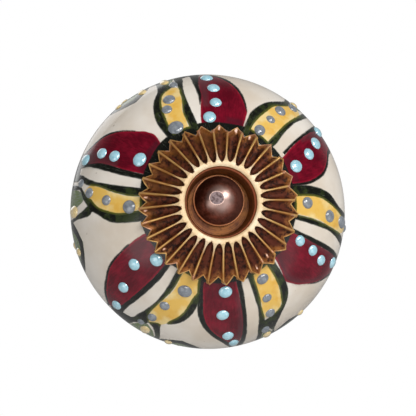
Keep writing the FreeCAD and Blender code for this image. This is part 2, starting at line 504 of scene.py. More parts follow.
# %% Burgundy petals
BURGUNDY = [
    [(10.5, -11, 19.5), (13, -11, 18.9), (15, -9.2, 18.6), (17, -7.7, 15.5), (19, -7.2, 12),
     (21, -6.8, 7.6), (22.5, -6.3, 3.7), (24.3, -3.4, -1.6)],
    [(10.5, 56, 75.5), (12.5, 54.7, 76.3), (14, 53.2, 76.5), (17, 52, 74.3), (18.5, 52, 72.3),
     (20, 52, 68.9), (22, 52.7, 64), (24, 53, 62.4), (26.5, 57.5, 58.5)],
    [(10.5, 112, 133), (14, 111, 135.6), (16.5, 110.7, 137.2), (17.5, 110.7, 135.2),
     (20, 110.7, 129.1), (22, 110, 124.2), (24, 111, 118.9), (25.8, 114.5, 115.5)],
    [(10.5, 167, 190), (13, 166.3, 189.8), (15, 165.9, 188.1), (18, 165.4, 185.8),
     (20, 165.4, 182.5), (22, 165.9, 177.8), (24, 167.2, 172.9), (26.3, 168.6, 169.4)],
    [(10.5, 220, 246), (13.5, 219.4, 245.2), (15, 219.5, 244), (17, 220, 242), (20, 221, 238.6),
     (22, 221.5, 234.7), (24, 222.4, 231.3), (26.8, 225, 226)],
    [(10.5, 290, 314), (12.4, 289.7, 315.7), (13.6, 289.3, 317.2), (15.3, 289.1, 315.9),
     (17, 289.6, 312.1), (20, 289.6, 306.4), (22, 288.6, 301.8), (24, 288.6, 295),
     (25.3, 290.5, 291.5)],
]
paint("burgundy", nearest_mark(BURGUNDY))

# %% [markdown]
# The yellow petals
#
# Between the burgundy ones stand six narrower yellow petals, with thick olive strokes on both
# sides. A strip of bare glaze is left beside each of them.

# %% Yellow petals
YELLOW = [
    [(10.5, 24, 39), (12.5, 24.5, 39.5), (15, 26.3, 40.5), (17, 27.7, 41), (19, 30.7, 42),
     (21, 35, 43), (22.3, 38, 42.6), (23.2, 40.3, 40.8)],
    [(10.5, 84.4, 97.5), (15, 84.6, 97.9), (17, 86, 98.3), (19, 88.5, 99.3), (21, 91, 99.9),
     (23, 93.4, 100.2), (25.2, 97, 97.8)],
    [(10.8, 142.3, 153), (12.8, 141, 154), (15, 141.4, 154.2), (17, 142.9, 154.7),
     (19, 144.8, 155.4), (20, 147.4, 155.2), (20.7, 151, 152)],
    [(10.5, 193, 206), (12.5, 192, 205.8), (15, 192.5, 205.9), (17, 195, 207.7),
     (19, 197, 209.7), (21, 200.9, 210.2), (22.2, 204, 209.6), (22.9, 207, 207.8)],
    [(10.8, 264, 273), (13.5, 263.1, 273.2), (15, 263.1, 274.4), (17, 265, 276.3),
     (19, 268, 278.3), (20.5, 272.2, 278.9), (21.8, 276, 276.8)],
    [(10.5, 326.5, 339), (13, 327.3, 339.3), (15, 328.5, 339.8), (17, 329.8, 342),
     (19, 333.2, 343.1), (20.2, 335.6, 343.5), (21, 340.8, 342)],
]
paint("yellow", nearest_mark(YELLOW))

# %% [markdown]
# Olive and black strokes
#
# The dark paint comes in two mixtures. Around the yellow petals it is an olive that the brush
# leaves streaky. Along the burgundy petals and round the rosette it is nearly black. Both are
# painted last, over the edges of the fields.

# %% Olive strokes beside the yellow petals
OLIVE = [
    [(10.5, 19, 25), (13, 19.8, 24.8), (15, 20.6, 26.6), (17, 23.3, 29), (19, 27.2, 31.4),
     (20.5, 30.7, 35), (22, 33.6, 37.2), (24, 33.8, 36.4), (27, 33.4, 35.8)],
    [(10.5, 39.2, 44.6), (13, 39.8, 44.9), (15, 40.3, 43.9), (17, 40.8, 43.9), (19, 41.8, 44.2),
     (21, 42.8, 45.4), (24, 43.8, 46.3), (27, 44.4, 46.8)],
    [(10.5, 76.5, 85), (13, 77.2, 85), (15, 78.7, 85), (17, 80.7, 86.2), (19, 83.6, 88.9),
     (21, 88.3, 91.4), (23, 90.2, 93.4), (26, 91, 93.4)],
    [(10.5, 97.3, 102), (13, 98, 101.7), (15, 98, 101.6), (17, 98.5, 101.6), (19, 99.4, 101.7),
     (21, 100, 102.8), (23, 100.4, 104), (26, 102.6, 105.4)],
    [(10.5, 135, 142.5), (13, 135.6, 141.6), (15, 136.5, 141.8), (18, 139, 144),
     (20, 143.4, 148), (21, 146.3, 156.6), (22.2, 148.8, 157), (23.4, 150.6, 154),
     (27.5, 150.9, 152.7)],
    [(10.5, 153, 158.2), (13, 153.8, 157.9), (16, 154.3, 157.4), (18, 155.1, 157.3),
     (20, 155, 158), (22, 155.5, 159), (24, 157, 159.4), (27.5, 157.8, 160)],
    [(14, 189, 191.5), (15, 189.4, 193.4), (16.5, 190.2, 194.9), (18, 191.6, 196.1),
     (19.4, 194, 198.4), (20.6, 197.4, 201), (21.3, 200.4, 201.4)],
    [(10.5, 205.5, 211), (13, 205.9, 210.4), (15, 206.2, 210), (17, 207.9, 210.4),
     (19, 209.6, 211.6), (21, 210.3, 213.3), (22.5, 208.8, 214.6), (23.6, 209.2, 215),
     (25, 213, 216.6), (28, 214.6, 217.6)],
    [(21.9, 203.4, 205.2), (22.8, 203, 208.6), (23.6, 202.4, 206), (25, 201.4, 204),
     (28, 200.6, 202.8)],
    [(10.5, 254.6, 262), (12.5, 255.3, 263.2), (15, 257.2, 263.3), (17, 259.7, 265.6),
     (19, 264.6, 268.9), (20.2, 267, 272.4), (21, 269.4, 273.6), (22, 272.6, 276),
     (23, 276.4, 278.4), (24.5, 277.2, 279.4), (28, 277.6, 280)],
    [(19.9, 266.6, 270.6), (20.6, 264.9, 270), (22, 264.5, 268), (24, 264.4, 266.4),
     (27, 263.6, 265.2)],
    [(10.5, 273, 279.6), (13, 273.2, 279.4), (15, 274.5, 279.6), (17, 276.4, 280),
     (19, 278.3, 280.5), (21, 278.8, 281.6), (23, 280.4, 283.4), (26, 281.6, 285)],
    [(10.5, 321.5, 328), (13, 322.1, 327.6), (15, 322.9, 329), (17, 325.3, 330.9),
     (19, 328.8, 333.3), (20.2, 331.6, 336.2), (21.2, 333.9, 341.6), (22.2, 335, 341),
     (23.4, 335.8, 338.6), (26, 336.4, 338.2)],
    [(10.5, 339.2, 345.6), (13, 339.5, 345.6), (15, 339.8, 344.9), (17, 342, 344.8),
     (19, 343.1, 345.1), (21, 343.6, 346.2), (22.5, 343.6, 347.2), (26, 344.6, 347.8)],
]
paint("olive", nearest_mark(OLIVE, trails=True))

# %% Black strokes beside the burgundy petals and round the rosette
BLACK = [
    [(12.6, 52.2, 54.4), (15, 50.9, 52.8), (17, 50.7, 52.3), (20, 50.6, 52.3),
     (22, 50.7, 53), (26, 50.6, 53)],
    [(12, 108.4, 111.6), (15, 108.5, 111), (18, 108.3, 110.9), (21, 108.5, 110.6),
     (25.5, 109.3, 111.4)],
    [(12, 162.8, 166.8), (15, 163, 166), (19, 163.6, 165.8), (22, 164.2, 166.3),
     (27, 165.5, 168.4)],
    [(12, 216.2, 219.8), (15, 216.1, 219.8), (17, 217.2, 220.4), (20, 218.6, 221.4),
     (22, 219.6, 221.9), (24, 219.9, 222.8), (26.8, 219.6, 225.6)],
    [(11.6, 285.8, 289.9), (13.5, 285.6, 289.5), (16, 285.9, 289.6), (18, 286.5, 290),
     (20, 287, 289.9), (22, 287.4, 289), (25.2, 286.4, 290.8)],
    [(15.6, 350.6, 351.2), (17, 351.1, 352.7), (20, 350.8, 353.2), (22, 350.8, 354),
     (25.5, 350.8, 356)],
    [(24.4, 213.6, 216), (25.3, 213.8, 222), (27.6, 214.6, 223)],
    [(24.2, 280.6, 283), (25, 281, 290), (27, 281.4, 290.6)],
    [(23.6, 345.4, 347.4), (24.6, 345.6, 352), (26, 346, 353)],
]
BELLY_LINES = [(0.1, 0.9, 15), (0.25, 0.6, 0), (0.1, 0.7, 17.6), (0.75, 0.8, 0), (0.15, 0.55, 15),
               (0.1, 0.85, 17)]
BLACK += [beside(petal, *line) for petal, line in zip(BURGUNDY, BELLY_LINES)]
RING_EDGE = 12.1
RING_WAVES = ((2, 0.22, 40), (5, 0.14, 200), (11, 0.07, 90))


def ring_band():
    """The dark ring under the rosette, whose outer edge wavers as the brush went round."""
    edge = RING_EDGE
    for waves, size, shift in RING_WAVES:
        edge = edge + size * np.cos(np.radians(waves * TURN + shift))
    return edge - ARC


paint("black", np.maximum(nearest_mark(BLACK, trails=True), ring_band()))

# %% [markdown]
# Washes of thin ink, and painted shade under the rosette
#
# Where the painter wiped the brush, a thin wash of black lies over burgundy and along the strokes.
# It is kept as one more layer of marks, which the material shows half transparent. The last three
# marks lie at the foot of the burgundy petals, just outside the rosette's teeth. They are painted
# shade under the rosette, in a dark plum.

# %% Washes and painted shade
WASHES_AND_SHADE = [
    [(15, 351.6, 356.5), (18, 351.8, 357.5), (21, 351.6, 359), (23, 351.6, 361.5),
     (25.4, 352, 359)],
    [(16.5, 286.4, 293.2), (19, 286.6, 294.2), (22, 286.6, 295.2), (24, 286.6, 294),
     (25.6, 287, 292)],
    [(17, 50.6, 54.4), (20, 50.6, 55.8), (23, 50.8, 58), (25, 52, 62.5), (26.4, 54, 61)],
    [(14, 163.4, 169), (18, 164, 168.4), (22, 164.4, 169), (26, 165.6, 170.4)],
    [(15, 109, 114), (19, 108.8, 113.4), (23, 109, 113.6)],
    [(12.6, 129, 134), (14, 131, 136), (16, 132.6, 137.4), (17.5, 131, 135.6), (20, 125.6, 129.6),
     (22, 121, 124.6), (24, 116, 119.4)],
    # The last three marks are painted shade under the rosette's teeth, not washes.
    [(12, 5, 20), (13.4, 6, 19.4)],
    [(12, 56, 76), (13.2, 57, 76)],
    [(12, 290, 316), (13.4, 292, 317)],
]
paint("wash_and_shade", nearest_mark(WASHES_AND_SHADE))

# %% [markdown]
# The green leaves of the second row
#
# Leaves stand in the gaps and point forwards, and their tips just show round the outline. From
# behind they make a second flower, and there a smaller leaf also grows from each yellow petal.
# What the front view hides is kept in the same hand: a fat leaf with a dark outline.

# %% Green leaves
GAP_LEAVES = [(24, 25.9, 9.8), (84, 26.1, 9.6), (144.4, 24.4, 8.8), (192, 24.6, 10.4),
              (254.4, 23.5, 11.4), (323.8, 22.1, 10.6)]
TIP_LEAVES = [(39.6, 22.6, 4.2), (97.2, 25.2, 4.2), (155.2, 23.4, 3.6), (208.6, 23.4, 5.6),
              (273.4, 21.6, 4.4), (341, 22.2, 3.6)]
GAP_LEAF_LENGTH = 12.5
LEAF_LINE = 1.5
TIP_LEAF_LENGTH = 12.0
LEAF_SHAPE = ((0.0, 0.0), (0.05, 0.36), (0.12, 0.64), (0.22, 0.88), (0.38, 1.0), (0.62, 0.86),
              (0.84, 0.5), (1.0, 0.0))


def leaf(middle, tip, half, length):
    """A leaf from its tip back, as wide as its shape says at each share of its length."""
    return [(tip + share * length, middle - wide * half, middle + wide * half)
            for share, wide in LEAF_SHAPE]


paint("gap_leaf", nearest_mark([leaf(*row, GAP_LEAF_LENGTH) for row in GAP_LEAVES]))
paint("tip_leaf", nearest_mark([leaf(*row, TIP_LEAF_LENGTH) for row in TIP_LEAVES]))


# %% [markdown]
# The painted glaze as a material
#
# The paints lie over each other as they did on the bench: green and yellow fields, burgundy,
# then the dark strokes. Each mask is the stored distance, turned into a soft edge that wanders
# by a few hundredths of a millimetre. The black is thin where a stroke begins and at its edges:
# over yellow it then looks olive, over burgundy plum, and over bare glaze grey. Brush streaks
# run along each stroke, so their noise is squeezed round the knob and stretched from front to
# back. A thin bump lifts the paint off the glaze, and everything is under one glossy firing.

# %% Material of the painted glaze
CREAM_LIGHT = colour(226, 219, 209)
CREAM_WARM = colour(208, 195, 178)
BURGUNDY_DEEP = colour(84, 0, 20)
BURGUNDY_BRIGHT = colour(122, 8, 34)
BURGUNDY_THIN = colour(150, 18, 40)
YELLOW_FULL = colour(223, 181, 90)
YELLOW_DEEP = colour(217, 163, 62)
YELLOW_THIN = colour(230, 208, 150)
INK_DARK = colour(18, 20, 15)
INK_GREEN = colour(46, 56, 26)
OVER_YELLOW = colour(84, 88, 32)
INK_AND_SHADE_ON_BURGUNDY = colour(62, 20, 32)
OVER_GLAZE = colour(92, 96, 90)
WASH_BURGUNDY = colour(84, 46, 52)
INK_WORN = colour(92, 96, 86)
LEAF_GREEN = colour(104, 122, 72)
LEAF_PALE = colour(126, 134, 120)
SPECK_BROWN = colour(150, 132, 112)
EDGE_SOFTNESS = 0.07


def paint_glaze(finish):
    place = finish.place
    wander = (place.noise(place, 900.0, detail=2.0) - 0.5) * 0.22
    streaks = finish.streaks(70.0, finish.attribute(LENGTH_LAYER) * 0.8)
    blotches = place.noise(place, 330.0, detail=3.0)
    pools = place.noise(place, 560.0, detail=2.0)

    def mask(name):
        return (finish.attribute(name) + wander).ramp(-EDGE_SOFTNESS, EDGE_SOFTNESS)

    cream = place.noise(place, 90.0, detail=4.0).ramp(0.35, 0.7).blend(CREAM_LIGHT, CREAM_WARM)
    specks = place.noise(place, 1500.0, detail=1.0).ramp(0.76, 0.82)
    body = (specks * 0.7).blend(cream, SPECK_BROWN)

    leaves = mask("gap_leaf").larger(mask("tip_leaf"))
    green = streaks.ramp(0.35, 0.7).blend(LEAF_GREEN, LEAF_PALE)
    body = leaves.blend(body, green)

    yellow = mask("yellow")
    thinner = (blotches + finish.attribute("yellow") * -0.12).ramp(0.36, 0.6) * 0.8
    thick_yellow = (pools.ramp(0.52, 0.7) * 0.6).blend(YELLOW_FULL, YELLOW_DEEP)
    body = yellow.blend(body, thinner.blend(thick_yellow, YELLOW_THIN))

    burgundy = mask("burgundy")
    brighter = (blotches * 0.6 + streaks * 0.4).ramp(0.4, 0.68)
    fringe = 1.0 - (finish.attribute("burgundy") + wander).ramp(0.08, 0.42)
    burgundies = (fringe * 0.7).blend(brighter.blend(BURGUNDY_DEEP, BURGUNDY_BRIGHT), BURGUNDY_THIN)
    body = burgundy.blend(body, burgundies)

    scratches = finish.streaks(150.0, finish.attribute(LENGTH_LAYER) * 0.9, detail=2.0)
    dry = (streaks * 0.6 + scratches * 0.4 - 0.5) * 0.9 + wander
    wash_and_shade = (finish.attribute("wash_and_shade") + dry).ramp(-0.3, 0.7) * 0.66
    near_yellow = (finish.attribute("yellow") + dry).ramp(-0.6, -0.1)
    near_burgundy = (finish.attribute("burgundy") + wander).ramp(-0.35, -0.1)
    over = near_burgundy.blend(near_yellow.blend(OVER_GLAZE, OVER_YELLOW), INK_AND_SHADE_ON_BURGUNDY)
    # Painted shade: near the rosette, the marks over burgundy take the dark plum of thin ink as the
    # shade of the teeth.
    burgundy_wash_past_shade = near_burgundy * finish.attribute(LENGTH_LAYER).ramp(13.8, 15.5)
    body = wash_and_shade.blend(body, burgundy_wash_past_shade.blend(over, WASH_BURGUNDY))

    inside_leaf = finish.attribute("gap_leaf")
    leaf_line = LEAF_LINE / 2 - (inside_leaf - LEAF_LINE / 2).size()
    olive = finish.attribute("olive")
    stroke = olive.larger(finish.attribute("black")).larger(leaf_line)
    covered = (stroke + dry * 0.3).ramp(-0.08, 0.08)
    thick = (stroke + dry * 0.8).ramp(near_yellow * 0.15 - 0.12, near_yellow * 0.36 + 0.2)
    mixed = (pools.ramp(0.44, 0.62) * olive.ramp(-0.1, 0.3) * 0.9).blend(INK_DARK, INK_GREEN)
    scratched = (scratches * 0.7 + streaks * 0.3).ramp(0.56, 0.68) * 0.5
    inks = thick.blend(over, scratched.blend(mixed, INK_WORN))
    body = covered.blend(body, inks)
    ink = covered.larger(wash_and_shade)
    finish.feed("Base Color", body)

    painted = yellow.larger(burgundy).larger(ink).larger(leaves)
    grain = place.noise(place, 1300.0, detail=3.0)
    finish.feed("Roughness", 0.11 + grain * 0.07 + painted * 0.03)
    orange_peel = place.noise(place, 240.0, detail=2.0)
    height = painted * 0.6 + streaks * painted * 0.35 + orange_peel * 0.45 + grain * 0.06
    finish.raise_surface(height, 0.00004)


paint_glaze(glaze)
print("painted glaze:", len(glaze.tree.nodes), "nodes")


# %% [markdown]
# Raised enamel dots
#
# The dots are drops of thick enamel from a pipette, so they stand well proud of the glaze and
# catch the light one by one. Each is a flattened drop set square to the surface, made once per
# dot from a low dome and placed by a matrix.

# %% Enamel dots
BLUE_DOTS = [
    (-5, 13.1, 1.95, 2.1), (0, 15.9, 1.8, 1.8), (-0.2, 19.1, 1.9, 1.9), (-2.2, 22.4, 1.9, 2.0),
    (64.7, 13.5, 1.95, 2.2), (61.2, 17, 1.85, 1.95),
    (57.9, 19.9, 1.95, 2.1), (53.9, 23.6, 1.8, 2.3),
    (113.8, 14.1, 1.65, 1.8), (114.6, 17.1, 1.65, 1.8),
    (116.2, 19.7, 1.6, 1.9), (113.3, 23.6, 1.75, 2.2),
    (174.4, 13.8, 2.05, 1.9), (175.9, 17.7, 1.9, 1.75),
    (172.8, 22.2, 1.75, 2.0), (169.8, 24.8, 1.5, 2.2),
    (226.1, 12.9, 2.05, 1.95), (232.7, 16.1, 1.85, 1.75),
    (227.4, 20.2, 1.7, 1.85), (223.9, 24.6, 1.65, 2.2),
    (298.4, 13.5, 2.2, 2.1), (295.1, 17.7, 1.8, 1.85),
    (294.7, 20.3, 1.7, 1.95), (290.6, 23.9, 1.8, 2.3),
]
GREY_DOTS = [
    (30.4, 12.9, 1.75, 2.0), (32.9, 15.9, 1.5, 1.4),
    (34.8, 18.8, 1.85, 1.9), (38.8, 22.2, 1.6, 1.9),
    (89.2, 14.05, 1.8, 2.0), (94.6, 18.8, 1.9, 2.1), (95.4, 22.9, 1.9, 2.9), (96.4, 26.8, 1.3, 2.0),
    (148.8, 13.6, 1.95, 1.7), (150.9, 16.9, 1.55, 1.4),
    (151.9, 19.8, 1.6, 1.6), (155.6, 23.4, 1.35, 1.9),
    (199.6, 14.6, 2.2, 1.95), (206.1, 18.2, 1.6, 1.5),
    (208.4, 21.4, 1.45, 1.7), (211.4, 23.9, 1.2, 1.4),
    (266.3, 13.5, 2.05, 2.1), (271.3, 17.3, 1.6, 1.6),
    (275.4, 20.7, 1.6, 1.7), (280, 23.2, 1.3, 1.6),
    (330.9, 13, 2.4, 2.3), (332.7, 16.7, 1.6, 1.7),
    (336.6, 18.4, 1.9, 1.9), (342.3, 21.8, 1.35, 2.0),
]
CREAM_DOTS = [
    (38.6, 26.2, 1.4, 1.8), (154.7, 26, 1.4, 2.6), (208, 25.8, 1.6, 3.0),
    (268.2, 25.2, 1.9, 3.0), (340, 24.3, 1.4, 2.6),
]
LEAF_DOTS = [
    (137.8, 25.9, 1.2, 1.6), (196.8, 27.2, 1.3, 2.0), (251.6, 26.4, 1.3, 1.9),
    (318.4, 25.9, 1.2, 1.6), (329.6, 24.4, 1.4, 2.2),
]
CREAM_ROW = ((6.9, 1.5, 1.9), (9.4, 1.2, 1.6))
DOT_HEIGHT = 0.42
FULL_DOT = 1.8
DOT_SUNK = 0.12
DOT_SIDES = 20
DOT_RINGS = 10


def frame_on_glaze(turn, arc):
    """A matrix whose X runs round the knob, Y along its profile and Z out of the glaze."""
    radius, out, lean = profile_point(arc)
    angle = math.radians(turn)
    away = Vector((math.sin(angle), 0, math.cos(angle)))
    round_it = Vector((math.cos(angle), 0, -math.sin(angle)))
    front = Vector((0, -1, 0))
    normal = away * math.sin(lean) + front * math.cos(lean)
    along = away * math.cos(lean) - front * math.sin(lean)
    turned = Matrix((round_it, along, normal)).transposed().to_4x4()
    centre = away * radius * MM + front * out * MM
    return Matrix.Translation(centre) @ turned


def dots_mesh(dots):
    mesh = bmesh.new()
    for turn, arc, width, length in dots:
        raised = DOT_HEIGHT * min(1.0, width / FULL_DOT) + DOT_SUNK
        size = Matrix.Diagonal((width / 2 * MM, length / 2 * MM, raised * MM, 1.0))
        sunk = Matrix.Translation((0, 0, -DOT_SUNK * MM))
        bmesh.ops.create_uvsphere(mesh, u_segments=DOT_SIDES, v_segments=DOT_RINGS, radius=1.0,
                                  matrix=frame_on_glaze(turn, arc) @ sunk @ size)
    bmesh.ops.recalc_face_normals(mesh, faces=mesh.faces[:])
    return mesh


def enamel(name, light, dark, skin):
    """Enamel is a lead glass, so it reflects more than the glaze does, and its skin is bright."""
    finish = Finish(name, Roughness=0.12, IOR=1.4 + skin * 0.5, Coat_Weight=skin, Coat_IOR=1.9,
                    Coat_Roughness=0.05)
    place = finish.place
    grain = place.noise(place, 1800.0, detail=3.0)
    finish.feed("Base Color", grain.ramp(0.3, 0.7).blend(dark, light))
    finish.feed("Roughness", 0.12 + grain * 0.12)
    finish.raise_surface(place.noise(place, 700.0, detail=2.0), 0.00006)
    return finish


def leaf_dots():
    """The cream drops further down each gap leaf, set by hand and so a little astray."""
    drift = np.random.default_rng(7)
    row = []
    for middle, tip, half in GAP_LEAVES:
        for along, width, length in CREAM_ROW:
            aside, ahead = drift.uniform(-1.0, 1.0, 2)
            row.append((middle + aside * 1.2, tip + along + ahead * 0.3, width, length))
    return row


ENAMELS = [
    ("blue", BLUE_DOTS, colour(180, 222, 234), colour(150, 204, 220), 1.0),
    ("grey", GREY_DOTS, colour(140, 145, 150), colour(112, 118, 126), 0.4),
    ("cream", CREAM_DOTS + LEAF_DOTS + leaf_dots(), colour(244, 222, 168), colour(232, 202, 136),
     1.0),
]
for hue, dots, light, dark, skin in ENAMELS:
    finish = enamel(f"{hue}_enamel", light, dark, skin)
    finished_piece(f"{hue}_dots", dots_mesh(dots), finish, None)


# %% [markdown]
# The rosette
#
# The rosette is one stamping: a disc with a cup for the screw's head, a polished crest round
# it, and a skirt pressed into 32 flutes whose edge is cut to 29 teeth. Its sheet is turned first
# as a plain profile. The press is then a formula that pushes every ring down inside a flute,
# and the die draws the outer rings in to the toothed outline. Both rings were indexed by hand,
# so flutes and teeth lag on one side and crowd on the other.

# %% Sizes of the rosette, in millimetres
rosette_low, rosette_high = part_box("front_rosette")
ROSETTE_DROP = -(rosette_low.z + rosette_high.z) / 2 / MM
SHEET = 0.5
HOLE_RADIUS = 2.6
CUP_FLOOR_RADIUS = 4.45
CUP_LIP_RADIUS = 5.05
CUP_LIP_DROP = 0.45
CREST_INNER = 5.35
CREST_RADIUS = 6.1
CREST_HEIGHT = 3.8
RIM_HEIGHT = 0.95
TOOTH_TIP = 11.75
TOOTH_ROOT = 10.55
FLUTES = 32
FLUTE_PHASE = 1.75
FLUTE_SWING = 0.65
FLUTE_SWING_TOWARDS = 197.0
FLUTE_NOSE = 5.92
FLUTE_NOSE_WAVER = 0.13
FLUTE_FULL = 7.9
FLUTE_ROUND = 1.25
FLUTE_DEPTH = 0.62
FLUTE_RIM_DEPTH = 0.85
RIDGE_WIDTH = 0.2
TEETH = 29
TOOTH_PHASE = 6.5
TOOTH_SWING = 6.3
TOOTH_SWING_TOWARDS = 156.0
ROSETTE_STEPS = 704
NOSE_RINGS = 20
SKIRT_RINGS = 22
# Painted glints on the rosette's teeth: each is an angle, a radius and a size in millimetres.
PAINTED_GLINTS = [
    (0.5, 11.3, 0.6), (13.6, 11.15, 0.7), (24.6, 10.8, 0.5), (274.6, 10.6, 0.42),
    (264.4, 10.6, 0.4), (136.2, 10.1, 0.45), (148.5, 10.6, 0.45), (230.3, 10.4, 0.36),
    (209.2, 6.75, 0.26),
]


def spaced(steps, count, phase, swing, towards):
    """Angles in a ring that was indexed by hand."""
    angles = 360.0 * steps / count
    return phase + angles + swing * np.cos(np.radians(angles - towards))


def tooth_edge(turns):
    """The radius of the toothed edge at each angle, straight from tip to root and back."""
    steps = np.arange(-4, 2 * TEETH + 4)
    corners = spaced(steps / 2, TEETH, TOOTH_PHASE, TOOTH_SWING, TOOTH_SWING_TOWARDS)
    radii = np.where(steps % 2 == 0, TOOTH_TIP, TOOTH_ROOT)
    lower = corners[0]
    return np.interp((turns - lower) % 360 + lower, corners, radii)


def flute_across(turns):
    """Where each angle lies in its flute, 0 in the middle and 1 on the ridge, and which one."""
    steps = np.arange(-2, FLUTES + 3, 0.25)
    angles = spaced(steps, FLUTES, FLUTE_PHASE, FLUTE_SWING, FLUTE_SWING_TOWARDS)
    lower = angles[0]
    places = np.interp((turns - lower) % 360 + lower, angles, steps)
    return np.abs((places + 0.5) % 1 - 0.5) * 2, np.floor(places + 0.5) % FLUTES


def pressed_depth(radii, turns):
    """How deep the press has pushed the sheet, as millimetres and as a share of the full depth."""
    across, flute = flute_across(turns)
    nose = FLUTE_NOSE + FLUTE_NOSE_WAVER * np.sin(2.4 * flute)
    opening = np.clip((radii - nose) / (FLUTE_FULL - nose), 0, 1)
    half_pitch = radii * math.tan(math.pi / FLUTES)
    widest = (half_pitch - RIDGE_WIDTH / 2) / half_pitch
    rounded = np.clip((radii - nose) / FLUTE_ROUND, 0, 1)
    half = np.maximum(widest * np.sqrt(1 - (1 - rounded) ** 2), 1e-6)
    within = np.clip(1 - (across / half) ** 2, 0, 1)
    share = within ** 0.62 * np.clip(opening * 3.4, 0, 1) ** 0.5
    full = FLUTE_DEPTH + (FLUTE_RIM_DEPTH - FLUTE_DEPTH) * np.clip(
        (radii - FLUTE_FULL) / (TOOTH_TIP - FLUTE_FULL), 0, 1)
    return share * full, share


def ridge_out(radii):
    share = (radii - CREST_RADIUS) / (TOOTH_TIP - CREST_RADIUS)
    return SEAT_OUT + CREST_HEIGHT - share * (CREST_HEIGHT - RIM_HEIGHT)


# %% Pressing and cutting the rosette
def rosette_profile():
    """The upper face of the sheet, from the hole to the rim."""
    floor = SEAT_OUT + SHEET
    crest = SEAT_OUT + CREST_HEIGHT
    lip = crest - CUP_LIP_DROP
    middle = (CUP_FLOOR_RADIUS + CUP_LIP_RADIUS) / 2
    points = [(HOLE_RADIUS, floor), (3.4, floor), (CUP_FLOOR_RADIUS - 0.25, floor),
              (CUP_FLOOR_RADIUS - 0.04, floor + 0.06), (CUP_FLOOR_RADIUS + 0.05, floor + 0.3),
              (middle, (floor + lip) / 2), (CUP_LIP_RADIUS - 0.06, lip - 0.2),
              (CUP_LIP_RADIUS + 0.06, lip + 0.1), (CREST_INNER - 0.07, crest - 0.13),
              (CREST_INNER + 0.02, crest - 0.03), (CREST_INNER + 0.14, crest), (5.78, crest + 0.03)]
    noses = np.linspace(CREST_RADIUS - 0.12, 7.4, NOSE_RINGS, endpoint=False)
    skirt = np.append(noses, np.linspace(7.4, TOOTH_TIP, SKIRT_RINGS))
    return points + [(radius, min(crest + 0.01, ridge_out(radius))) for radius in skirt]


def painted_glint_spots(radii, turns):
    """Painted glints near the tooth tips: 1 in the middle of each, 0 outside them."""
    most = np.zeros(len(radii))
    for turn, radius, size in PAINTED_GLINTS:
        aside = np.radians((turns - turn + 180) % 360 - 180) * radii
        most = np.maximum(most, 1 - np.hypot(aside * 1.7, (radii - radius) * 0.8) / size)
    return most


def rosette_mesh():
    mesh = bmesh.new()
    ring_chain(mesh, rosette_profile(), closed=False)
    spin_round(mesh, ROSETTE_STEPS)
    height = mesh.verts.layers.float.new("pressed")
    rim = mesh.verts.layers.float.new("from_edge")
    painted_glint = mesh.verts.layers.float.new("painted_glint")
    places = np.array([vertex.co for vertex in mesh.verts]) / MM
    radii = np.hypot(places[:, 0], places[:, 2])
    turns = np.degrees(np.arctan2(places[:, 0], places[:, 2])) % 360
    edge = tooth_edge(turns)
    skirt = np.clip((radii - CREST_RADIUS) / (TOOTH_TIP - CREST_RADIUS), 0, 1)
    drawn = np.where(skirt > 0, CREST_RADIUS + skirt * (edge - CREST_RADIUS), radii)
    depth, share = pressed_depth(drawn, turns)
    out = np.where(skirt > 0, ridge_out(drawn), -places[:, 1]) - depth
    scale = drawn / np.maximum(radii, 1e-9)
    from_edge = np.where(skirt > 0, edge - drawn, 5.0)
    bright = painted_glint_spots(drawn, turns)
    for row, vertex in enumerate(mesh.verts):
        vertex.co.x *= scale[row]
        vertex.co.z *= scale[row]
        vertex.co.y = -out[row] * MM
        vertex[height] = share[row]
        vertex[rim] = from_edge[row]
        vertex[painted_glint] = bright[row]
    bmesh.ops.recalc_face_normals(mesh, faces=mesh.faces[:])
    front = max(mesh.faces, key=lambda face: -face.calc_center_median().y)
    if front.normal.y > 0:
        bmesh.ops.reverse_faces(mesh, faces=mesh.faces[:])
    bmesh.ops.solidify(mesh, geom=mesh.faces[:], thickness=SHEET * MM * 0.9)
    bmesh.ops.translate(mesh, verts=mesh.verts[:], vec=(0, 0, -ROSETTE_DROP * MM))
    return mesh


copper = Finish("antique_copper", Metallic=1.0, Roughness=0.35)
finished_piece("fluted_rosette", rosette_mesh(), copper, "front_rosette",
               smooth_angle=50.0)


# %% [markdown]
# Antique copper
#
# The plated rosette was dipped to darken it and then buffed. The buff reaches the ridges, the crest
# and the cut edge, which come up pale gold, and leaves the flutes a mottled brown. The stored depth
# of pressing says how far the buff could reach. Light is painted in as well: the crest's pale cream
# is a painted highlight, the lower-right flutes carry a painted plum sheen, and rose-white glints
# are painted near the tooth tips.

# %% Material of the rosette
CREST_HIGHLIGHT_CREAM = colour(214, 183, 138)
CREST_HIGHLIGHT_PALE = colour(226, 203, 168)
GOLD_BRIGHT = colour(232, 184, 112)
GOLD_WORN = colour(206, 148, 84)
GOLD_ORANGE = colour(176, 104, 40)
GLINT_ROSE_GOLD = colour(238, 176, 136)
GLINT_WHITE = colour(255, 222, 206)
COPPER_BROWN = colour(112, 54, 30)
COPPER_DARK = colour(40, 16, 7)
PLUM_SHEEN = colour(100, 45, 27)
COPPER_GOLDEN = colour(124, 76, 28)
RIM_BRONZE = colour(168, 108, 56)
CUP_BROWN = colour(128, 78, 32)
CUP_RED = colour(92, 48, 24)
LIP_COPPER = colour(214, 132, 96)


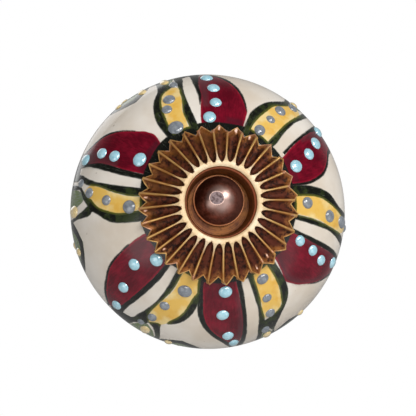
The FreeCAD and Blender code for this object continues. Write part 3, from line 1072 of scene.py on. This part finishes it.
def finish_copper(finish):
    place = finish.place
    radius = finish.from_axis(ROSETTE_DROP)
    x, depth, z = place.split()
    mottle = place.noise(place, 1700.0, detail=4.0, roughness=0.65)
    cloud = place.noise(place, 330.0, detail=2.0)
    patch = place.noise(place, 620.0, detail=2.0)
    drawn = finish.streaks(48.0, radius * 0.5, detail=2.0)
    pressed = finish.attribute("pressed")
    brown = (mottle * 0.75 + drawn * 0.25).ramp(0.4, 0.62).blend(COPPER_DARK, COPPER_BROWN)
    # Painted sheen: the flute floors on the lower right are painted plum, as a reflection of the
    # bright room below and to the right.
    lower = (x * 40.0 - z * 60.0).ramp(-0.5, 0.6, 0.25, 0.95)
    painted_sheen = pressed.ramp(0.6, 1.0) * (cloud * 0.6 + mottle * 0.4).ramp(0.42, 0.6) * lower
    flute = painted_sheen.blend(brown, PLUM_SHEEN)
    # The flutes on the upper left are made a lighter golden brown, by their side alone.
    upper_left_golden = (z * 60.0 - x * 60.0 + (patch - 0.5)).ramp(0.15, 0.9) * patch.ramp(0.4, 0.6) * 0.6
    flute = upper_left_golden.blend(flute, COPPER_GOLDEN)
    near_rim = (1.0 - finish.attribute("from_edge").ramp(0.3, 1.6)) * mottle.ramp(0.36, 0.6) * 0.75
    flute = near_rim.blend(flute, RIM_BRONZE)

    cup = 1.0 - (radius + (mottle - 0.5) * 0.1).ramp(CREST_INNER - 0.16, CREST_INNER - 0.04)
    turning = finish.turned(radius * 7.0, depth * 5000.0)
    floor = (cloud * 0.5 + turning * 0.5).ramp(0.4, 0.6).blend(CUP_RED, CUP_BROWN)
    floor = (mottle.ramp(0.5, 0.7) * 0.5).blend(floor, COPPER_DARK)
    lip = (1.0 - ((radius - CUP_LIP_RADIUS).size() + (mottle - 0.5) * 0.05).ramp(0.05, 0.13)) * 0.9
    flute = cup.blend(flute, lip.blend(floor, LIP_COPPER))

    worn = pressed + (mottle - 0.5) * 0.2
    ridge = 1.0 - worn.ramp(0.04, radius.ramp(6.2, 9.5, 0.3, 0.6))
    from_edge = finish.attribute("from_edge") + (mottle - 0.5) * 0.16
    edge = (1.0 - from_edge.ramp(0.12, 0.38)) * 0.95
    buffed = ridge.larger(edge) * (1.0 - cup)
    gold = cloud.ramp(0.42, 0.66).blend(GOLD_BRIGHT, GOLD_WORN)
    # Painted glints: rose patches near the tooth edges, lighter and smoother, stand in for light
    # caught by the tips.
    tip_glints = (1.0 - from_edge.ramp(0.5, 1.1)) * patch.ramp(0.5, 0.62)
    gold = tip_glints.blend(gold, GLINT_ROSE_GOLD)
    # The crest is buffed brass. Its pale cream, with the metal nearly turned off below, is a
    # painted highlight.
    crest = (1.0 - radius.ramp(6.5, 8.2)) * (1.0 - cup)
    gold = crest.blend(gold, cloud.ramp(0.44, 0.62).blend(CREST_HIGHLIGHT_CREAM, CREST_HIGHLIGHT_PALE))
    buffed = buffed.larger(tip_glints * 0.6)
    gold = buffed.ramp(0.45, 0.95).blend(GOLD_ORANGE, gold)
    # Painted glints: the listed spots are made rose-white and nearly non-metallic, as light caught
    # by the teeth.
    painted_glint = finish.attribute("painted_glint")
    glint_spots = painted_glint.ramp(0.0, 0.3) * (painted_glint + (mottle - 0.5) * 1.8).ramp(0.1, 0.7)
    whiter = (painted_glint + (mottle - 0.5) * 1.4).ramp(0.45, 0.8)
    gold = glint_spots.blend(gold, whiter.blend(GLINT_ROSE_GOLD, GLINT_WHITE))
    buffed = buffed.larger(glint_spots)
    finish.feed("Base Color", buffed.blend(flute, gold))
    finish.feed("Metallic", 0.6 + buffed * (0.05 - crest.larger(glint_spots) * 0.55))
    finish.feed("Roughness", 0.42 - buffed * 0.12 + mottle * 0.14 - tip_glints * 0.1)
    finish.raise_surface(mottle * (1.0 - buffed * 0.6) + turning * cup * 0.1, 0.00006)


finish_copper(copper)
print("antique copper:", len(copper.tree.nodes), "nodes")


# %% [markdown]
# The dome screw
#
# The screw was turned from bar. Its head is a low dome whose centre was touched flat on a wheel, a
# little to one side, and behind the knob its shank is threaded M4 to the end. The head is one spin,
# and a tilted bisect plane grinds the flat. A thread is a spin as well: one pitch of its profile,
# moved back by a pitch for each turn. Each ring knows how worn it is, from 0 to 1, and on the head
# that mark also places painted highlights.

# %% Turning helpers, and the screw's head
WEAR_AND_HIGHLIGHT_LAYER = "worn"
TIP_OUT, SHANK_END_OUT = faces_out("dome_screw")
HEAD_SEAT_OUT = SEAT_OUT + SHEET
HEAD_RADIUS = 3.7
HEAD_EDGE = 0.55
CROWN_CURVE = 5.29
CROWN_PAST_AXIS = 0.88
CROWN_RINGS = 26
HEAD_STEPS = 128
SHANK_RADIUS = 1.95
THREAD_FROM_OUT = 6.0
THREAD_PITCH = 0.7
THREAD_DEPTH = 0.4
THREAD_STEPS = 30
TIP_CHAMFER = 0.5
FACET_TOWARDS = (-0.196, -0.98, 0.035)
FACET_RIM = 0.13


def worn_chain(mesh, profile, closed):
    """A chain of (radius, out, wear), with the wear kept in a layer of the vertices."""
    layer = mesh.verts.layers.float.new(WEAR_AND_HIGHLIGHT_LAYER)
    for vertex, point in zip(ring_chain(mesh, profile, closed), profile):
        vertex[layer] = point[2]


def head_profile():
    centre_out = HEAD_SEAT_OUT + HEAD_EDGE - math.sqrt(
        CROWN_CURVE ** 2 - (HEAD_RADIUS + CROWN_PAST_AXIS) ** 2)
    crown = []
    for step in range(CROWN_RINGS):
        radius = (HEAD_RADIUS - 0.16) * step / (CROWN_RINGS - 1)
        rise = math.sqrt(CROWN_CURVE ** 2 - (radius + CROWN_PAST_AXIS) ** 2)
        crown.append((radius, centre_out + rise, 0.0))
    edge = HEAD_SEAT_OUT + HEAD_EDGE
    # The rings round the head's edge are marked worn, and the material paints them as a bright
    # copper highlight line.
    return crown + [(HEAD_RADIUS - 0.12, edge + 0.05, 1.0), (HEAD_RADIUS - 0.01, edge - 0.06, 1.0),
                    (HEAD_RADIUS, edge - 0.14, 1.0), (HEAD_RADIUS, HEAD_SEAT_OUT + 0.27, 0.8),
                    (HEAD_RADIUS - 0.25, HEAD_SEAT_OUT, 0.0),
                    (SHANK_RADIUS, HEAD_SEAT_OUT, 0.0), (SHANK_RADIUS, THREAD_FROM_OUT, 0.0),
                    (0.0, THREAD_FROM_OUT, 0.0)]


def cut_away(mesh, place, normal):
    """Cut off what lies beyond a plane, and give back the edges that the cut made."""
    whole = mesh.verts[:] + mesh.edges[:] + mesh.faces[:]
    cut = bmesh.ops.bisect_plane(mesh, geom=whole, dist=1e-8, plane_co=place, plane_no=normal,
                                 clear_outer=True)
    return [item for item in cut["geom_cut"] if isinstance(item, bmesh.types.BMEdge)]


def grind_facet(mesh):
    """Cut the dome's tip with a tilted plane, and close the cut with a flat and a narrow rim."""
    tip = Vector((0, -TIP_OUT * MM, 0))
    ring = cut_away(mesh, tip, Vector(FACET_TOWARDS).normalized())
    flat = bmesh.ops.edgeloop_fill(mesh, edges=ring)["faces"]
    worn = mesh.verts.layers.float[WEAR_AND_HIGHLIGHT_LAYER]
    ground = mesh.verts.layers.float.new("ground")
    # The rim of the flat is marked worn, and the material paints it as a pale pink highlight ring.
    for vertex in flat[0].verts:
        vertex[worn] = 1.0
    bmesh.ops.inset_region(mesh, faces=flat, thickness=FACET_RIM * MM, use_even_offset=True)
    for vertex in flat[0].verts:
        vertex[worn] = 0.0
        vertex[ground] = 1.0


def cut_thread(mesh, outer, front_out, back_out):
    """A right-hand thread between two planes, with its own capped ends."""
    rows = [(0.0, 0.0), (0.25, 0.0), (0.56, 1.0), (0.69, 1.0), (1.0, 0.0)]
    start = front_out + THREAD_PITCH
    turns = math.ceil((start - back_out) / THREAD_PITCH) + 1
    profile = [(outer - THREAD_DEPTH * (1 - high), start - share * THREAD_PITCH, high)
               for share, high in rows]
    worn_chain(mesh, profile, closed=False)
    bmesh.ops.spin(mesh, geom=mesh.verts[:] + mesh.edges[:], cent=(0, 0, 0), axis=(0, 1, 0),
                   dvec=(0, THREAD_PITCH * MM / THREAD_STEPS, 0), angle=2 * math.pi * turns,
                   steps=THREAD_STEPS * turns)
    bmesh.ops.remove_doubles(mesh, verts=mesh.verts[:], dist=2e-6)
    for vertex in mesh.verts:
        limit = outer - TIP_CHAMFER + (-vertex.co.y / MM - back_out)
        radius = math.hypot(vertex.co.x, vertex.co.z) / MM
        if radius > limit > 0:
            vertex.co.x *= limit / radius
            vertex.co.z *= limit / radius
    for out, side in ((front_out, -1), (back_out, 1)):
        cut_away(mesh, (0, -out * MM, 0), (0, side, 0))
        rim = [edge for edge in mesh.edges if edge.is_boundary
               and all(abs(vertex.co.y + out * MM) < 1e-7 for vertex in edge.verts)]
        bmesh.ops.holes_fill(mesh, edges=rim)
    bmesh.ops.recalc_face_normals(mesh, faces=mesh.faces[:])


def joined(meshes, name):
    """One bmesh from several, through a mesh each, so that their layers survive."""
    whole = bmesh.new()
    for number, mesh in enumerate(meshes):
        data = bpy.data.meshes.new(f"{name}_{number}")
        mesh.to_mesh(data)
        mesh.free()
        whole.from_mesh(data)
        bpy.data.meshes.remove(data)
    return whole


def screw_mesh():
    head = bmesh.new()
    worn_chain(head, head_profile(), closed=False)
    spin_round(head, HEAD_STEPS)
    grind_facet(head)
    shank = bmesh.new()
    cut_thread(shank, SHANK_RADIUS, THREAD_FROM_OUT, SHANK_END_OUT)
    return joined([head, shank], "screw")


screw_metal = Finish("aged_copper", Metallic=0.8, Roughness=0.36)
finished_piece("turned_screw", screw_mesh(), screw_metal, "dome_screw",
               smooth_angle=15.0)

# %% [markdown]
# Aged copper on the screw
#
# The head is a plum brown, satin from the lathe, and it is painted darker at the left as shade.
# Round the flat it is painted lighter, partly wear from handling and partly a painted highlight.
# The line round its edge is bare copper and a painted highlight, and the rim round the ground flat
# is a painted highlight; the flat itself stayed grey and matt. The thread is rubbed bright only at
# its crests, so its roots stay dark.

# %% Material of the screw
HEAD_BROWN = colour(146, 97, 84)
HEAD_DARK = colour(66, 33, 23)
HEAD_BRIGHT = colour(226, 190, 178)
EDGE_COPPER_HIGHLIGHT = colour(255, 178, 126)
FACET_RIM_HIGHLIGHT = colour(250, 214, 198)
GROUND_GREY = colour(158, 138, 138)
GROUND_DARK = colour(104, 84, 84)
THREAD_BRASS = colour(176, 146, 96)
THREAD_DARK = colour(70, 54, 36)


def finish_screw(finish):
    place = finish.place
    radius = finish.from_axis()
    x, depth, z = place.split()
    grain = place.noise(place, 2600.0, detail=3.0)
    cloud = place.noise(place, 700.0, detail=3.0)
    lathe = finish.turned(radius * 9.0)
    worn = finish.attribute(WEAR_AND_HIGHLIGHT_LAYER)
    ground = finish.attribute("ground").ramp(0.4, 0.9)
    tip = 1.0 - depth.ramp(-(TIP_OUT - 1.0) * MM, -(TIP_OUT - 1.3) * MM)
    head = 1.0 - depth.ramp(-(HEAD_SEAT_OUT + 0.1) * MM, -(HEAD_SEAT_OUT - 0.1) * MM)
    # Painted shade: the head is painted darker towards its left and lighter towards its right, as
    # the light falls; cloud and grain add a real mottle.
    painted_side_light = x * 60.0 - z * 20.0 + 0.02
    head_tone = (cloud * 0.6 + grain * 0.4 + painted_side_light).ramp(0.26, 0.78).blend(HEAD_DARK, HEAD_BROWN)
    # Round the flat the head is painted lighter: partly wear from handling, partly a painted
    # highlight of the lamp at the right.
    handled_and_highlight = (radius + (cloud - 0.5) * 1.2).ramp(0.9, 2.4, 0.85, 0.0)
    head_tone = handled_and_highlight.blend(head_tone, HEAD_BRIGHT)
    # Painted highlights: the ring round the head's edge is painted bright copper, also bare copper
    # worn through, and the rim round the flat pale pink, both with little metal.
    worn_and_highlight = worn.ramp(0.35, 0.85)
    bare_and_highlight = tip.blend(EDGE_COPPER_HIGHLIGHT, FACET_RIM_HIGHLIGHT)
    flat = (grain * 0.6 + cloud * 0.4).ramp(0.4, 0.56).blend(GROUND_DARK, GROUND_GREY)
    top = ground.blend(worn_and_highlight.blend(head_tone, bare_and_highlight), flat)
    thread = (worn * 0.8 + cloud * 0.3).ramp(0.2, 0.9).blend(THREAD_DARK, THREAD_BRASS)
    finish.feed("Base Color", head.blend(thread, top))
    finish.feed("Metallic", 0.8 - worn_and_highlight * 0.65 - ground * 0.3)
    finish.feed("Roughness", 0.24 + ground * 0.3 + cloud * 0.12 + handled_and_highlight * 0.06)
    finish.raise_surface(lathe * (1.0 - ground) * 0.08 + grain * (0.3 + ground * 0.7), 0.00003)


finish_screw(screw_metal)
print("aged copper:", len(screw_metal.tree.nodes), "nodes")


# %% [markdown]
# The back plate
#
# Behind the ceramic sits a spun metal cup, which spreads the pull over the drawer front. It was
# turned over a form, so it is one spin of a closed profile. Each corner that wears is doubled,
# which gives it a small round that catches light, and those rings are marked as worn.

# %% Back plate
plate_low, plate_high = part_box("back_plate")
PLATE_RADIUS = plate_high.x / MM
PLATE_HEIGHT = -plate_low.y / MM
PLATE_TOP_RADIUS = 9.2
PLATE_WAIST_OUT = 2.6
PLATE_RIM_OUT = 1.1
PLATE_RIM_INNER = 8.4
PLATE_HOLLOW = 7.6
PLATE_WEB_OUT = PLATE_HEIGHT - 1.2
PLATE_HOLE = SHANK_RADIUS + 0.2
PLATE_EDGE = 0.35
PLATE_STEPS = 192


def rounded_profile(corners, round_off):
    """Double each corner that wears, a little way along both of its sides."""
    profile = []
    for number, (radius, out, wear) in enumerate(corners):
        here = Vector((radius, out))
        if wear == 0:
            profile.append((radius, out, 0.0))
            continue
        before = Vector(corners[number - 1][:2])
        after = Vector(corners[(number + 1) % len(corners)][:2])
        first = here + (before - here).normalized() * round_off
        last = here + (after - here).normalized() * round_off
        middle = (first + last) / 4 + here / 2
        profile += [(*first, wear), (*middle, wear), (*last, wear)]
    return profile


def turned_mesh(corners, steps, round_off):
    mesh = bmesh.new()
    worn_chain(mesh, rounded_profile(corners, round_off), closed=True)
    spin_round(mesh, steps)
    return mesh


PLATE_CORNERS = [
    (PLATE_HOLE, PLATE_WEB_OUT, 0), (PLATE_HOLE, PLATE_HEIGHT, 0),
    (PLATE_TOP_RADIUS - PLATE_EDGE, PLATE_HEIGHT, 1),
    (PLATE_TOP_RADIUS, PLATE_HEIGHT - PLATE_EDGE, 1), (PLATE_TOP_RADIUS, PLATE_WAIST_OUT, 0.6),
    (PLATE_RADIUS - PLATE_EDGE, PLATE_RIM_OUT, 1), (PLATE_RADIUS, PLATE_RIM_OUT - PLATE_EDGE, 1),
    (PLATE_RADIUS, 0, 0.8), (PLATE_RIM_INNER, 0, 0.8), (PLATE_HOLLOW, PLATE_WEB_OUT, 0.2)]
brass = Finish("aged_brass", Metallic=0.8, Roughness=0.36)
finished_piece("spun_plate", turned_mesh(PLATE_CORNERS, PLATE_STEPS, 0.1), brass,
               "back_plate", smooth_angle=40.0)

# %% Material of the back plate
PLATE_BROWN = colour(132, 88, 50)
PLATE_DARK = colour(84, 52, 32)
PLATE_GOLD = colour(214, 166, 104)


def finish_brass(finish):
    place = finish.place
    depth = place.split()[1]
    grain = place.noise(place, 2200.0, detail=3.0)
    cloud = place.noise(place, 260.0, detail=4.0)
    rings = finish.turned(finish.from_axis() * 6.0, depth * 6000.0)
    dark = (cloud * 0.6 + rings * 0.4).ramp(0.38, 0.64)
    worn = (finish.attribute(WEAR_AND_HIGHLIGHT_LAYER) + (cloud - 0.5) * 0.9).ramp(0.35, 0.9)
    finish.feed("Base Color", worn.blend(dark.blend(PLATE_DARK, PLATE_BROWN), PLATE_GOLD))
    finish.feed("Roughness", 0.34 + cloud * 0.16 - worn * 0.08)
    finish.raise_surface(rings * 0.6 + grain * 0.3, 0.00004)


finish_brass(brass)
print("aged brass:", len(brass.tree.nodes), "nodes")


# %% [markdown]
# Nuts and washer
#
# A hexagon nut is turned first and milled after: its corners keep the arcs that the lathe left.
# So the script turns a barrel with bevelled ends and a countersunk bore, and then takes six flats
# off with bisect planes. Each cut is closed again at once. The washer is punched, so it is a
# plain turned ring with one rounded side.

# %% Zinc-plated fasteners
ACROSS_FLATS = 7.0
NUT_BORE = SHANK_RADIUS + 0.04
NUT_CHAMFER = 0.35
BORE_CHAMFER = 0.3
NUT_STEPS = 96
WASHER_RADIUS = 4.5
WASHER_HOLE = 2.15


def nut_mesh(node):
    front, back = faces_out(node)
    corner = ACROSS_FLATS / 2 / math.cos(math.pi / 6)
    end = corner - NUT_CHAMFER / math.tan(math.pi / 6)
    mesh = turned_mesh([
        (NUT_BORE, back + BORE_CHAMFER, 0), (NUT_BORE, front - BORE_CHAMFER, 0),
        (NUT_BORE + BORE_CHAMFER, front, 0), (end, front, 0.6),
        (corner + 0.02, front - NUT_CHAMFER, 0), (corner + 0.02, back + NUT_CHAMFER, 0),
        (end, back, 0.6), (NUT_BORE + BORE_CHAMFER, back, 0)], NUT_STEPS, 0.05)
    for side in range(6):
        angle = math.radians(30 + 60 * side)
        normal = Vector((math.sin(angle), 0, math.cos(angle)))
        ring = cut_away(mesh, normal * ACROSS_FLATS / 2 * MM, normal)
        bmesh.ops.edgeloop_fill(mesh, edges=ring)
    bmesh.ops.recalc_face_normals(mesh, faces=mesh.faces[:])
    return mesh


def washer_mesh(node):
    front, back = faces_out(node)
    return turned_mesh([
        (WASHER_HOLE, back, 0.3), (WASHER_HOLE, front, 0.6), (WASHER_RADIUS, front, 0.6),
        (WASHER_RADIUS, back, 0.3)], NUT_STEPS, 0.12)


ZINC_LIGHT = colour(206, 208, 206)
ZINC_COOL = colour(172, 180, 188)
ZINC_WARM = colour(196, 188, 160)


def finish_zinc(finish):
    """Zinc is a fine bright grain, and its passivation leaves faint warm and cool clouds."""
    place = finish.place
    grain = place.noise(place, 3000.0, detail=4.0)
    cloud = place.noise(place, 420.0, detail=3.0)
    stain = place.noise(place, 190.0, detail=2.0)
    body = cloud.ramp(0.4, 0.64).blend(ZINC_LIGHT, ZINC_COOL)
    finish.feed("Base Color", (stain.ramp(0.5, 0.66) * 0.6).blend(body, ZINC_WARM))
    finish.feed("Roughness", 0.24 + grain * 0.16 + cloud * 0.1)
    finish.raise_surface(grain, 0.00002)


zinc = Finish("zinc_plate", Metallic=0.9, Roughness=0.3)
finish_zinc(zinc)
for name, shape, node, smooth in (("thin_nut", nut_mesh, "lock_nut", 25.0),
                                  ("hex_nut", nut_mesh, "fixing_nut", 25.0),
                                  ("punched_washer", washer_mesh, "fixing_washer", 40.0)):
    finished_piece(name, shape(node), zinc, node, smooth_angle=smooth)


# %% [markdown]
# Light and stage
#
# The knob hangs in a plain white studio. A soft lamp beside the camera lights its face, a wide
# one at the right draws the gleam on the screw's dome, and three weak ones fill from below and
# from behind. Camera, glossy and transmission rays that leave the knob meet white paper. To a
# glossy ray it is dimmer, as the walls of a room are, and dimmest in front of the knob, which
# keeps the colours under the glaze deep. The floor lies far below and holds the shadow.

# %% Lamps, world and floor
LAMPS_AIM = (0, -0.02, 0)
LAMPS = [
    ("beside_camera", (0.11, -0.78, 0.17), 0.4, 2.3),
    ("right_window", (0.45, -0.66, 0.38), 0.34, 3.4),
    ("lower_left", (-0.55, -0.6, -0.3), 0.6, 1.1),
    ("lower_right", (0.6, -0.5, -0.4), 0.6, 0.55),
    ("behind", (-0.3, 0.75, 0.45), 0.6, 1.0),
]
FLOOR_LEVEL = -0.5
FLOOR_SIZE = 8.0
FLOOR_GLOW = 0.45
DIFFUSE_LIGHT = 0.42
ROOM_ABOVE = 0.06
ROOM_BELOW = 0.14
ROOM_BEHIND = 0.3


def add_lamp(name, place, size, power):
    lamp = bpy.data.lights.new(name, "AREA")
    lamp.shape = "DISK"
    lamp.size = size
    lamp.energy = power
    holder = add_to_scene(name, lamp)
    holder.location = place
    aim = Vector(LAMPS_AIM) - Vector(place)
    holder.rotation_mode = "QUATERNION"
    holder.rotation_quaternion = aim.to_track_quat("-Z", "Y")


def sees_backdrop(tree):
    """A wire that is 1 for rays that see the backdrop and 0 for light, and one for glossy rays."""
    paths = tree.nodes.new("ShaderNodeLightPath")
    camera_ray = Wire(tree, paths.outputs["Is Camera Ray"])
    glossy_ray = Wire(tree, paths.outputs["Is Glossy Ray"])
    glass_ray = Wire(tree, paths.outputs["Is Transmission Ray"])
    return camera_ray.larger(glossy_ray).larger(glass_ray), glossy_ray


def light_world():
    world = bpy.data.worlds.new("studio")
    world.use_nodes = True
    bpy.context.scene.world = world
    tree = world.node_tree
    shown, glossy = sees_backdrop(tree)
    coordinates = tree.nodes.new("ShaderNodeTexCoord")
    across, depth, height = Wire(tree, coordinates.outputs["Generated"]).split()
    in_front = height.ramp(-0.7, 0.3, ROOM_BELOW, ROOM_ABOVE)
    behind = depth.ramp(0.1, 0.8)
    room = in_front * (1.0 - behind) + behind * ROOM_BEHIND
    paper = 1.0 - glossy * (1.0 - room)
    strength = shown * paper + (1.0 - shown) * DIFFUSE_LIGHT
    background = tree.nodes["Background"]
    background.inputs["Color"].default_value = (1, 1, 1, 1)
    tree.links.new(strength.socket, background.inputs["Strength"])


def add_floor():
    mesh = bmesh.new()
    bmesh.ops.create_grid(mesh, x_segments=1, y_segments=1, size=FLOOR_SIZE / 2)
    bmesh.ops.translate(mesh, verts=mesh.verts[:], vec=(0, 0, FLOOR_LEVEL))
    data = bpy.data.meshes.new("floor")
    mesh.to_mesh(data)
    mesh.free()
    floor = add_to_scene("floor", data)
    material = bpy.data.materials.new("floor_paper")
    material.use_nodes = True
    tree = material.node_tree
    shader = tree.nodes["Principled BSDF"]
    shader.inputs["Roughness"].default_value = 0.9
    shader.inputs["Emission Strength"].default_value = FLOOR_GLOW
    shown, glossy = sees_backdrop(tree)
    glow = (shown * (1.0 - glossy * 0.9)).blend((0, 0, 0, 1), (1, 1, 1, 1))
    tree.links.new(glow.socket, shader.inputs["Emission Color"])
    paper = glossy.blend((0.86, 0.86, 0.86, 1), (0.5, 0.5, 0.5, 1))
    tree.links.new(paper.socket, shader.inputs["Base Color"])
    data.materials.append(material)


for lamp in LAMPS:
    add_lamp(*lamp)
light_world()
add_floor()
bpy.context.scene.view_settings.view_transform = "Standard"
print("lamps, world and floor are in place")
